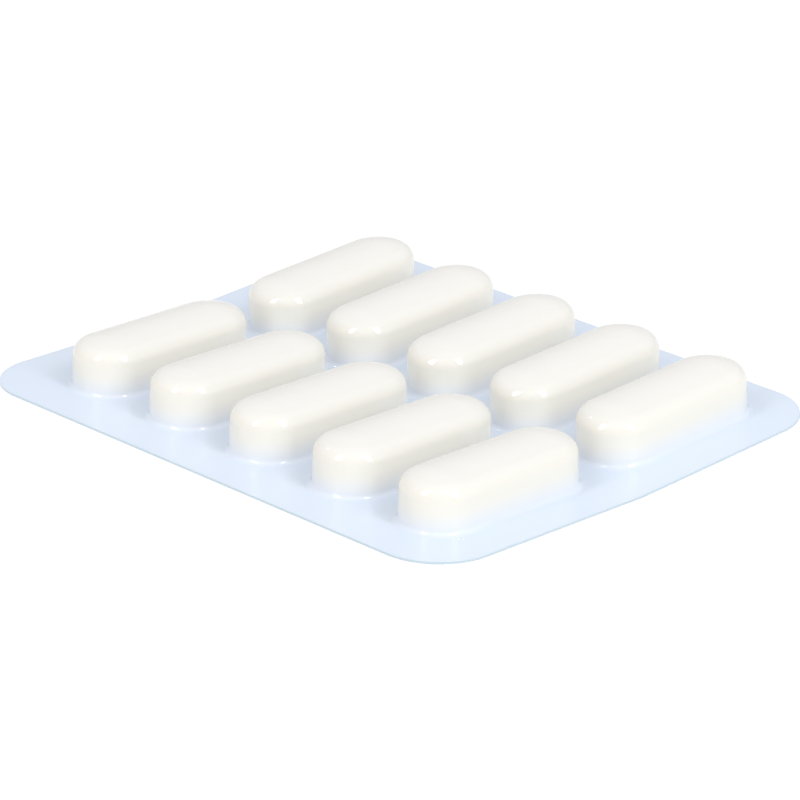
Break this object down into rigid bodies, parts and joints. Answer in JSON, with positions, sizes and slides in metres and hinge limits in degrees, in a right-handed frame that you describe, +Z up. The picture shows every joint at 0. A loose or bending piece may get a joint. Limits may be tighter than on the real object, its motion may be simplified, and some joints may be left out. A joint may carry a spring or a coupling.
{
  "type": "tablet blister pack",
  "caption": "Blister pack: clear film formed into round-ended pockets, each holding one oblong tablet, closed underneath by a sealed foil.",
  "frame": {"origin": "on the floor under the middle of the pack's outline as seen from above", "axes": "+X along the pack's longer side, +Y across its two columns to the bent-up far column, +Z up with the foil underneath"},
  "size_m": [0.0794, 0.0642, 0.0078],
  "materials": {
    "film": "gloss",
    "foil": "satin",
    "tablet": "satin"
  },
  "bodies": {
    "root": {"formed_film": "film", "lidding_foil": "foil", "tablet_1": "tablet", "tablet_2": "tablet", "tablet_3": "tablet", "tablet_4": "tablet", "tablet_5": "tablet", "tablet_6": "tablet", "tablet_7": "tablet", "tablet_8": "tablet", "tablet_9": "tablet", "tablet_10": "tablet"}
  },
  "joints": []
}
